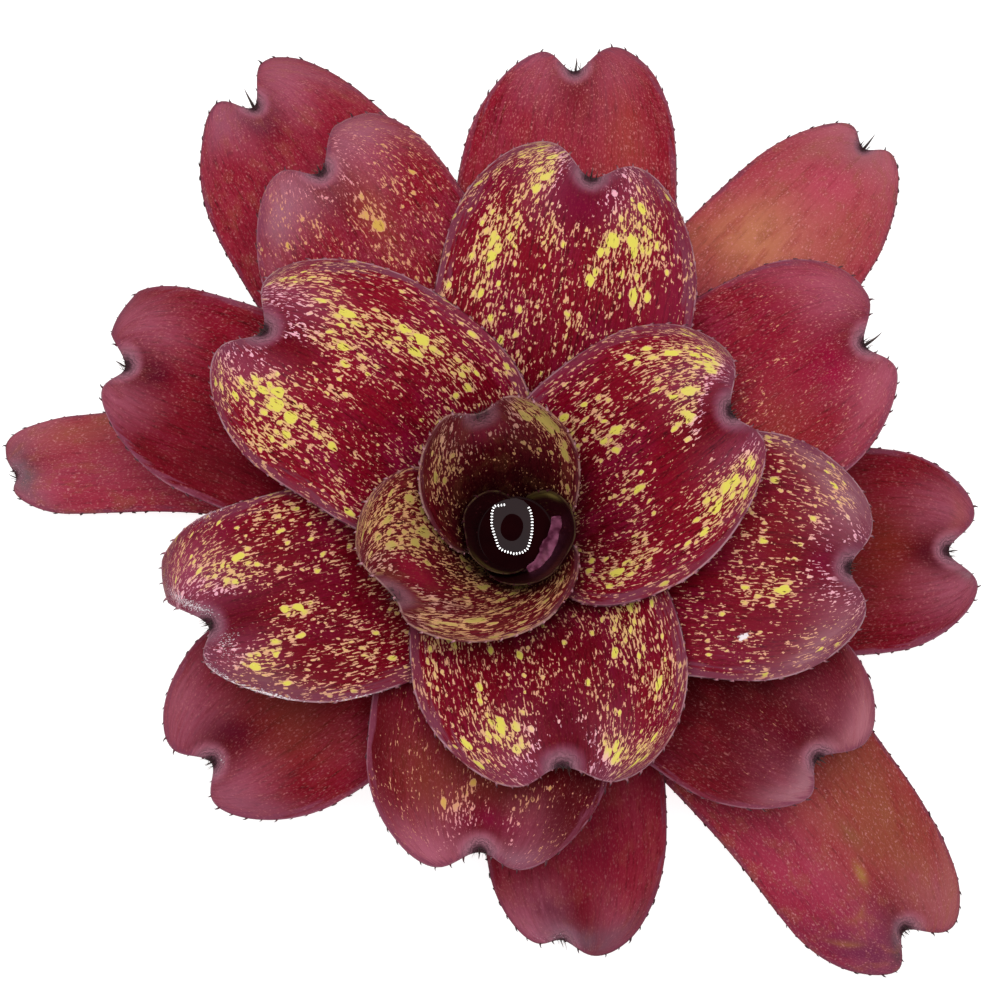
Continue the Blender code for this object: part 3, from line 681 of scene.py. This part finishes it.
# Patches for some leaves, as (side, share of the length, their reach across and along, amount) and for
# tints also their colour
leafPatches = {
    "flecked": {
        3: [(-58, 93, 25, 7.5, 190), (-80, 84, 10, 8, 120), (42, 77, 12, 8, 135), (65, 80, 14, 12, 60),
         (78, 60, 16, 16, 37), (-88, 60, 10, 16, 37), (-40, 75, 20, 10, 35), (10, 50, 50, 20, -40)],
        4: [(-60, 60, 20, 20, 62), (-45, 78, 20, 10, 50), (40, 90, 30, 6, 50), (-30, 92, 20, 6, 50),
         (-95, 70, 8, 8, 74), (-5, 80, 14, 8, -100), (20, 50, 40, 20, 10)],
        5: [(20, 82, 16, 7, 90), (42, 90, 14, 7, 135), (70, 85, 12, 10, 56), (-50, 87, 16, 8, 130),
         (-66, 86, 12, 10, 62), (-75, 50, 20, 15, 60), (50, 55, 20, 12, 60), (-5, 93, 22, 7, -140),
         (-15, 78, 12, 10, -60)],
        6: [(-50, 64, 14, 8, 115), (-62, 54, 10, 5, 80), (-34, 76, 14, 6, 110), (-45, 93, 12, 5, 60),
         (45, 83, 14, 7, 100), (50, 73, 10, 8, 80), (20, 70, 7, 6, 50), (72, 60, 8, 12, 43),
         (70, 88, 12, 10, 40), (5, 60, 14, 12, -40), (10, 88, 13, 5, -120), (40, 55, 30, 10, -40)],
        7: [(-45, 82, 16, 5, 90), (-30, 87, 10, 4, 70), (26, 88, 10, 4.5, 110), (50, 58, 8, 10, 81),
         (66, 62, 10, 14, 62), (-82, 62, 12, 8, 62), (-62, 94, 14, 4, 50), (50, 94, 20, 3, 60),
         (2, 78, 18, 12, -50), (0, 92, 20, 5, -120)],
        8: [(34, 92, 11, 5, 118), (44, 97, 12, 4, 62), (55, 80, 16, 8, 56), (58, 70, 10, 8, 74),
         (22, 79, 5, 6, 68), (-36, 84, 12, 6, 100), (-20, 79, 10, 4, 70), (-55, 82, 16, 10, 50),
         (10, 66, 40, 8, -20), (5, 91, 15, 5, -160), (-75, 75, 12, 30, -40)],
        9: [(-45, 82, 20, 9, 90), (50, 88, 10, 4, 100), (10, 72, 10, 6, 40), (60, 75, 14, 10, 30),
         (-10, 82, 10, 6, -40), (0, 90, 20, 8, -100)],
        10: [(45, 87, 20, 8, 35), (-25, 75, 20, 6, 60), (-10, 68, 20, 8, 35), (60, 78, 15, 10, 30)],
        11: [(-20, 79, 10, 9, 80), (35, 82, 8, 5, 60), (-50, 85, 20, 8, 35), (10, 93, 30, 3, 40)],
        12: [(-18, 80, 16, 7, 95), (30, 80, 10, 6, 50), (-58, 76, 8, 8, 40)],
        13: [(0, 68, 30, 8, 25), (-50, 62, 30, 10, 25)],
    },
    "crusted": {
        3: [(18, 98.5, 12, 2.5, 65), (-20, 99, 15, 1.5, 50)],
        9: [(-30, 96.5, 20, 2.5, 90), (-15, 95, 12, 3.5, 60), (20, 93, 14, 4.5, 75), (42, 92, 16, 5, 45),
         (50, 100, 25, 2, 110), (80, 99.5, 15, 3, 110), (99, 93, 4, 6, 110), (-99, 96, 8, 8, 90),
         (-60, 98, 20, 2, 40)],
        10: [(-64, 74, 3.5, 1.2, 260)],
        17: [(5, 96, 12, 2.5, 70)],
        20: [(-30, 98.5, 45, 1.6, 55)],
        22: [(10, 98.5, 40, 2, 60)],
    },
    # Painted shade of overlapping leaves, partly the leaf's own darker tone
    "shaded": {
        9: [(60, 80, 40, 15, 25)],
        12: [(60, 85, 40, 30, 50), (-90, 70, 15, 20, 40)],
        14: [(70, 80, 50, 30, 35)],
        17: [(-20, 90, 20, 6, 30)],
        18: [(-10, 92, 16, 3.5, 50)],
        20: [(-35, 88, 30, 8, 35)],
    },
    # Some tints are painted shade, where leaves overlap or lie deep in the tank, and some are painted
    # highlights on the lobes
    "tints": {
        1: [(60, 93, 30, 6, 70, "6a5a2c"), (0, 90, 50, 20, 40, "300a10"), (-80, 60, 30, 30, 50, "3c0a14")],
        2: [(97, 75, 7, 22, 90, "6a5c2c"), (90, 90, 7, 8, 90, "8a7a40"), (-20, 93, 35, 7, 55, "5c2c20"),
         (60, 60, 30, 30, 50, "3c0a16")],
        3: [(0, 40, 160, 34, 92, "260308"), (0, 86, 25, 6, 50, "7c1c38"), (70, 96, 30, 6, 70, "420408")],
        4: [(0, 34, 160, 26, 60, "34070c"), (-10, 80, 16, 8, 60, "8a0c2c"), (50, 98, 35, 4, 80, "480610")],
        7: [(0, 60, 120, 30, 40, "4e0612")],
        8: [(0, 90, 30, 6, 60, "780834"), (-80, 80, 20, 20, 40, "7a1c3c")],
        9: [(0, 66, 120, 20, 50, "56040e"), (-50, 92, 30, 6, 50, "9c4460"), (70, 95, 25, 8, 75, "785058")],
        10: [(-70, 85, 25, 20, 40, "6e2a3e"), (10, 72, 60, 15, 50, "6a161c"), (65, 95, 36, 8, 95, "94656f"),
         (-70, 96, 34, 7, 90, "96656f"), (0, 90, 14, 4, 50, "7c0838")],
        11: [(-20, 79, 14, 10, 50, "8c4430"), (50, 93, 35, 7, 75, "9a6474"), (-50, 95, 40, 5, 70, "9c5c6e")],
        12: [(-10, 74, 50, 12, 65, "6a2a20"), (-50, 78, 25, 10, 60, "743022"),
         (78, 86, 34, 16, 88, "44040c"), (-95, 78, 20, 30, 60, "50060f"),
         (5, 88.5, 30, 3.5, 75, "740630"), (-45, 97, 30, 5.5, 80, "aa5c70"),
         (30, 97.8, 20, 3.5, 85, "8a5868")],
        13: [(0, 75, 50, 12, 40, "962440"), (-40, 68, 40, 12, 50, "8a3428"), (-14, 87, 26, 6, 95, "8c0030"),
         (60, 92, 35, 8, 55, "b0566c"), (-65, 93, 30, 8, 55, "ac5468")],
        14: [(0, 90, 16, 4, 60, "4c0422")],
        15: [(0, 62, 120, 28, 90, "400308"), (55, 84, 30, 10, 50, "641020"), (-50, 84, 30, 10, 50, "560a18"),
         (45, 97, 35, 5, 85, "b06c78"), (-40, 97, 28, 4.5, 85, "a06a76"), (0, 89, 40, 4, 60, "56041c")],
        16: [(0, 75, 80, 20, 50, "983440"), (90, 60, 30, 12, 50, "b0603c"), (-50, 80, 20, 10, 40, "a44832")],
        17: [(10, 70, 50, 12, 65, "763022"), (-10, 87, 20, 5, 70, "540420"), (-70, 93, 20, 7, 60, "a45a6c"),
         (60, 96, 35, 6, 60, "8e5064")],
        18: [(0, 70, 70, 14, 75, "641c12"), (0, 82, 25, 5, 50, "742814"), (-5, 93, 14, 2.5, 80, "50041a"),
         (-27, 100, 10, 3, 85, "836670"), (35, 96, 20, 2, 40, "a05048")],
        19: [(0, 72, 60, 16, 50, "7c142c"), (10, 93, 20, 3, 50, "5c1834"), (-60, 95, 40, 5, 50, "9a5668"),
         (40, 96, 30, 4, 50, "8c5266")],
        20: [(0, 70, 100, 16, 50, "6c0626"), (0, 96.5, 70, 4, 80, "6a4856"), (-40, 90, 30, 4, 60, "4c1024")],
        21: [(0, 80, 100, 30, 85, "b4505a"), (30, 66, 60, 10, 75, "bc7c54"), (-50, 78, 30, 10, 50, "a0523e"),
         (10, 86, 40, 5, 60, "b43e58"), (0, 97, 70, 5, 60, "a8606c"), (50, 90, 20, 4, 40, "8c5848")],
        22: [(0, 80, 100, 30, 70, "a03e52"), (-60, 85, 40, 10, 60, "9a5042"),
         (20, 96.5, 60, 3.5, 90, "68525a")],
        23: [(-50, 75, 50, 20, 70, "a23a54"), (50, 75, 50, 25, 85, "8e4c36"),
         (-10, 70, 25, 12, 50, "a4504a"), (-50, 94, 45, 8, 90, "6a2442"), (70, 97, 30, 4, 60, "a45c58"),
         (10, 75, 8, 5, 50, "7c5a30"), (-5, 83.5, 5, 2, 90, "a87c40"), (-35, 86.5, 12, 0.8, 50, "a0702c"),
         (-62, 91.5, 14, 0.8, 45, "a0702c"), (-15, 98.5, 20, 3, 95, "3c2c32")],
    },
}


def paintLeaf(leaf, order):
    mesh = leaf.data
    place = np.empty(len(mesh.vertices) * 3, np.float32)
    mesh.attributes["bladePlace"].data.foreach_get("vector", place)
    side, u, _ = place.reshape(-1, 3).T

    def patch(*hundredths):
        atSide, atU, wide, long, amount = (value / 100 for value in hundredths)
        return amount * np.exp(-(((side - atSide) / wide) ** 2) - ((u - atU) / long) ** 2)

    def keep(name, kind, field, values):
        mesh.attributes.new(name, kind, "POINT").data.foreach_set(field, values.astype(np.float32).ravel())

    for name in ("flecked", "crusted", "shaded"):
        amount = np.full(len(side), leafEven[name][order - 1] / 100 if name in leafEven else 0.0)
        for blot in leafPatches[name].get(order, []):
            amount += patch(*blot)
        keep(name, "FLOAT", "value", np.maximum(amount, 0.0))
    tint = np.zeros((len(side), 4), np.float32)
    tinted = np.zeros(len(side), np.float32)
    for *blot, code in leafPatches["tints"].get(order, []):
        here = patch(*blot)
        after = 1 - (1 - tinted) * (1 - here)
        share = (here / np.maximum(after, 1e-6))[:, None]
        tint = tint * (1 - share) + np.array(colour(code)) * share
        tinted = after
    keep("tint", "FLOAT_COLOR", "color", tint)
    keep("tinted", "FLOAT", "value", tinted)


def growLeaves():
    tree = bladeTree()
    lastOfAge = (2, 4, 10, 18, 23)
    looks = [Values({key: values[age] for key, values in leafLooks.items()}) for age in range(len(leafAges))]
    materials = [leafMaterial(name, look) for name, look in zip(leafAges, looks)]
    spines = [spineMaterial("spines_" + name, look.tooth) for name, look in zip(leafAges, looks)]
    for order, row in enumerate(leafRows, 1):
        age = next(age for age, last in enumerate(lastOfAge) if order <= last)
        values = leafValues(order - 1, row)
        values.update({"leafMaterial": materials[age], "spineMaterial": spines[age]})
        leaf = grow(f"blade_{order:02d}", tree, values)
        paintLeaf(leaf, order)
        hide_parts(f"leaf_{order:02d}")
        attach(leaf, "root")
    print("leaves grown:", len(leafRows))


def meshPiece(name, points, faces, material, smooth=True):
    mesh = bpy.data.meshes.new(name)
    mesh.from_pydata([tuple(point) for point in points], [], faces)
    if smooth:
        mesh.shade_smooth()
    mesh.materials.append(material)
    return added(name, mesh)


def revolved(name, profile, sides, material):
    # A solid of revolution round Z from (radius, height) pairs in millimetres, from the top down
    angles = [2 * pi * step / sides for step in range(sides)]
    points = [(0.0, 0.0, profile[0][1] * mm)]
    for radius, height in profile[1:-1]:
        points += [(radius * cos(a) * mm, radius * sin(a) * mm, height * mm) for a in angles]
    points.append((0.0, 0.0, profile[-1][1] * mm))
    spot = lambda level, step: 1 + level * sides + step % sides
    levels = len(profile) - 2
    faces = [(0, spot(0, step), spot(0, step + 1)) for step in range(sides)]
    for level in range(levels - 1):
        faces += [(spot(level, step), spot(level + 1, step), spot(level + 1, step + 1), spot(level, step + 1))
                  for step in range(sides)]
    faces += [(len(points) - 1, spot(levels - 1, step + 1), spot(levels - 1, step)) for step in range(sides)]
    return meshPiece(name, points, faces, material)


water = Values({"colour": "1a0406", "depths": "120305", "roughness": 0.0, "refraction": 1.33,
                "radius": 13.6, "footRadius": 7.0, "rise": 0.5, "top": 76.0, "bottom": 58.4,
                "lopsided": 0.075, "wideTowards": -10.0, "sides": 96})


def setWater():
    material, new = newMaterial("tank_water")
    ground = objectPlace(new).noise(60.0, 3.0).ease(0.35, 0.7)
    ground = ground.paint(water.colour, water.depths)
    endMaterial(new, {"Base Color": ground, "Roughness": water.roughness, "IOR": water.refraction})
    radius, top, rise = water.radius, water.top, water.rise
    level = top - rise
    flat = [(share * radius, level) for share in (0.25, 0.5, 0.75, 0.95)]
    rim = [(radius * (0.95 + 0.05 * t), level + rise * 0.8 * t * t) for t in (0.35, 0.7, 1.0)]
    wall = [(mix(radius, water.footRadius, t), mix(top - 0.6, water.bottom, t))
            for t in (0.25, 0.5, 0.75, 1.0)]
    profile = [(0.0, level), *flat, *rim, *wall, (0.0, water.bottom)]
    surface = revolved("water", profile, water.sides, material)
    for vertex in surface.data.vertices:
        # Wider on the side where the youngest leaves stand further out
        x, y, z = vertex.co
        share = 1 + water.lopsided * cos(atan2(y, x) - radians(water.wideTowards))
        vertex.co = (x * share, y * share, z)
    for face in surface.data.polygons:
        face.use_smooth = face.normal.z < 0.9999
    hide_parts("tank_water")
    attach(surface, "root")
    print("water set")


# The torn and curled tip of the youngest leaf, which lies by the water: its middle line and sizes in
# millimetres
tornTip = Values({"line": [(15.4, 5.0, 84.5), (15.0, -1.1, 80.5), (12.4, -5.4, 78.4), (10.4, -9.8, 78.2),
                           (5.4, -13.6, 77.8)],
                  "width": 5.8, "thickness": 0.5, "curl": 0.9, "steps": 32, "lanes": 8,
                  "dark": "48162c", "light": "7c405a", "dry": "6e4a3c", "roughness": 0.5})


def tornTipMaterial():
    material, new = newMaterial("torn_tip")
    place = objectPlace(new)
    ground = place.noise(300.0, 3.0).ease(0.35, 0.65).paint(tornTip.dark, tornTip.light)
    ground = place.noise(120.0, 2.0).ease(0.55, 0.75, 0.0, 0.5).paint(ground, tornTip.dry)
    endMaterial(new, {"Base Color": ground, "Roughness": tornTip.roughness})
    return material


def layTornTip():
    look, line = tornTip, [Vector(point) for point in tornTip.line]
    steps, lanes = look.steps, look.lanes
    upper, lower = [], []
    for step in range(steps + 1):
        # A smooth curve through the points of the line
        way = step / steps * (len(line) - 1)
        leg = min(int(way), len(line) - 2)
        f = way - leg
        before, here, after, beyond = (line[min(max(leg + k, 0), len(line) - 1)] for k in (-1, 0, 1, 2))
        middle = 0.5 * (2 * here + (after - before) * f + (2 * before - 5 * here + 4 * after - beyond) * f**2
                        + (3 * here - before - 3 * after + beyond) * f**3)
        ahead = (after - before).normalized().lerp((beyond - here).normalized(), f).normalized()
        across = ahead.cross(Vector((0.0, 0.0, 1.0))).normalized()
        upwards = across.cross(ahead)
        taper = 0.3 + 0.7 * sin(pi * (0.15 + 0.78 * step / steps)) + 0.06 * sin(step * 1.1)
        for lane in range(lanes + 1):
            v = lane / lanes - 0.5
            rise = look.curl * (4 * v * v + 0.4 * sin(step * 0.8 + v * 4))
            spot = middle + across * (v * look.width * taper) + upwards * rise
            thick = upwards * (look.thickness / 2 * (1 - 0.8 * (2 * v) ** 4))
            upper.append((spot + thick) * mm)
            lower.append((spot - thick) * mm)
    count, row = len(upper), lanes + 1
    faces = [(a, a + 1, a + row + 1, a + row) for a in range(count - row) if a % row < lanes]
    faces += [tuple(count + corner for corner in reversed(face)) for face in faces]
    rim = [*range(lanes), *range(lanes, count - 1, row), *range(count - 1, count - row, -1),
           *range(count - row, 0, -row)]
    faces += [(a, a + count, b + count, b) for a, b in zip(rim, rim[1:] + rim[:1])]
    piece = meshPiece("torn_tip", upper + lower, faces, tornTipMaterial())
    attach(piece, "root")
    print("torn tip laid")


stemLook = Values({"dark": "5a3f28", "light": "8a6a48", "scar": "3a2618", "cut": "b09468", "roughness": 0.85})


def dressStem():
    material, new = newMaterial("stem")
    place = objectPlace(new)
    height = place.parts()[2] / mm
    scars = (height * 1.6 + place.noise(90.0, 3.0) * 4).maths("SINE") * 0.5 + 0.5
    ground = place.noise(260.0, 4.0).ease(0.35, 0.65).paint(stemLook.dark, stemLook.light)
    ground = (scars * 0.5).paint(ground, stemLook.scar)
    ground = height.ease(1.2, 0.2).paint(ground, stemLook.cut)
    bump = new.node("ShaderNodeBump", {
        "Strength": 0.7, "Distance": 0.0008, "Height": scars + place.noise(300.0, 4.0)})
    endMaterial(new, {"Base Color": ground, "Roughness": stemLook.roughness, "Normal": bump})
    for obj in bpy.data.objects:
        if obj.type == "MESH" and obj.name.split(".")[0] == "stem":
            obj.data.materials.clear()
            obj.data.materials.append(material)
            print("stem dressed")


# Metres, degrees and watts
studio = Values({
    "target": (-0.0046, 0.0149, 0.060), "elevation": 80.0, "distance": 0.85, "lens": 85.0,
    "sky": 0.29, "lampPlace": (0.0, 0.1, 1.5), "lampSize": 1.0, "lampPower": 22.5,
    "floorHalf": 3.0, "floorGlow": 0.86, "floorDark": "a8a8a8", "floorLight": "b0b0b0",
})

# What the water mirrors: a line of small lamps before a dim plate with a dark hole, all before a dark card.
# Lines and radii are in millimetres from the middle of the ring.
ring = Values({
    "place": (0.0035, 0.1262, 0.84), "dots": 43, "dotRadius": 0.5, "dotStretch": 1.9, "lampGlow": 90.0,
    "line": [(-5.1, 17.2), (-12.1, 16.2), (-13.5, 12.1), (-13.8, 3.4), (-12.1, -2.7), (-9.1, -11.5),
             (-7.4, -13.1), (-4.4, -14.5), (1.7, -16.2), (7.1, -15.2), (10.8, -12.5), (12.8, -6.1),
             (13.8, 0.0), (13.8, 6.7), (12.8, 12.5), (11.5, 15.2)],
    "plateTop": [(8.0, 20.0), (2.0, 22.0), (-5.0, 21.5), (-11.0, 18.5)],
    "plateShare": 1.05, "plateGlow": 1.25, "holeMiddle": 1.8, "holeWidth": 7.7, "holeLength": 9.3,
    "cardHalf": 70.0,
})


def glowing(name, code, strength):
    material, new = newMaterial(name)
    endMaterial(new, {"Color": code, "Strength": strength}, "ShaderNodeEmission")
    return material


def setRing():
    place = Vector(ring.place)
    towards = (Vector((0.0, 0.0, (water.top - water.rise) * mm)) - place).normalized()
    right = Vector((1.0, 0.0, 0.0))
    up = towards.cross(right).normalized()
    up = up if up.y > 0 else -up

    def board(name, outlines, closer, code, strength):
        points = [place + towards * closer * mm + (right * x + up * y) * mm
                  for outline in outlines for x, y in outline]
        faces, first = [], 0
        for outline in outlines:
            faces.append(tuple(range(first, first + len(outline))))
            first += len(outline)
        meshPiece(name, points, faces, glowing(name, code, strength), smooth=False)

    line = [Vector(point) for point in ring.line]
    lengths = [(b - a).length for a, b in zip(line, line[1:])]
    total, dots = sum(lengths), ring.dots
    spots = []
    for step in range(dots):
        way, leg = total * step / (dots - 1), 0
        while leg < len(lengths) - 1 and way > lengths[leg]:
            way -= lengths[leg]
            leg += 1
        spots.append(line[leg].lerp(line[leg + 1], way / lengths[leg]))
    lamps = []
    for before, spot, after in zip([spots[0], *spots], spots, [*spots[1:], spots[-1]]):
        # Each lamp lies across the line
        ahead = (after - before).normalized() * ring.dotRadius
        aside = Vector((ahead.y, -ahead.x)) * ring.dotStretch
        turns = [pi / 4 * corner for corner in range(8)]
        lamps.append([tuple(spot + ahead * cos(a) + aside * sin(a)) for a in turns])
    board("ring_lamps", lamps, 4.0, "ffffff", ring.lampGlow)
    half = ring.cardHalf
    board("ring_card", [[(-half, -half), (half, -half), (half, half), (-half, half)]], -2.0, "100406", 0.1)
    share = ring.plateShare
    plate = [(x * share, y * share) for x, y in ring.line[1:]] + ring.plateTop
    board("ring_plate", [plate], 0.0, "fff4f8", ring.plateGlow)
    turns = [pi / 16 * corner for corner in range(32)]
    hole = [(ring.holeWidth * cos(a) * (1 + 0.06 * sin(2 * a)),
             ring.holeMiddle + ring.holeLength * sin(a)) for a in turns]
    board("ring_hole", [hole], 2.0, "1a0508", 0.05)


def layFloor():
    material, new = newMaterial("floor")
    ground = objectPlace(new).noise(40.0, 3.0).ease(0.3, 0.7)
    ground = ground.paint(studio.floorDark, studio.floorLight)
    endMaterial(new, {"Base Color": ground, "Roughness": 0.9, "Emission Color": "ffffff",
                      "Emission Strength": studio.floorGlow})
    half = studio.floorHalf
    corners = [(-half, -half, 0.0), (half, -half, 0.0), (half, half, 0.0), (-half, half, 0.0)]
    meshPiece("floor", corners, [(0, 1, 2, 3)], material, smooth=False)


def setStudio():
    target = Vector(studio.target)
    elevation = radians(studio.elevation)
    away = Vector((0.0, -cos(elevation), sin(elevation)))
    camera = added("camera", bpy.data.cameras.new("camera"))
    camera.data.lens = studio.lens
    camera.data.sensor_width = 36.0
    camera.location = target + away * studio.distance
    camera.rotation_euler = away.to_track_quat("Z", "Y").to_euler()
    scene.camera = camera

    world = bpy.data.worlds.new("studio")
    world.use_nodes = True
    background = world.node_tree.nodes["Background"].inputs
    background["Color"].default_value = (1.0, 1.0, 1.0, 1.0)
    background["Strength"].default_value = studio.sky
    scene.world = world
    lamp = bpy.data.lights.new("softbox", "AREA")
    lamp.size = studio.lampSize
    lamp.energy = studio.lampPower
    holder = added("softbox", lamp)
    holder.location = studio.lampPlace
    holder.rotation_euler = (holder.location - target).to_track_quat("Z", "Y").to_euler()
    holder.visible_glossy = False
    layFloor()
    setRing()
    scene.view_settings.view_transform = "Standard"
    print("studio set")


growLeaves()
setWater()
layTornTip()
dressStem()
setStudio()
bpy.context.view_layer.update()
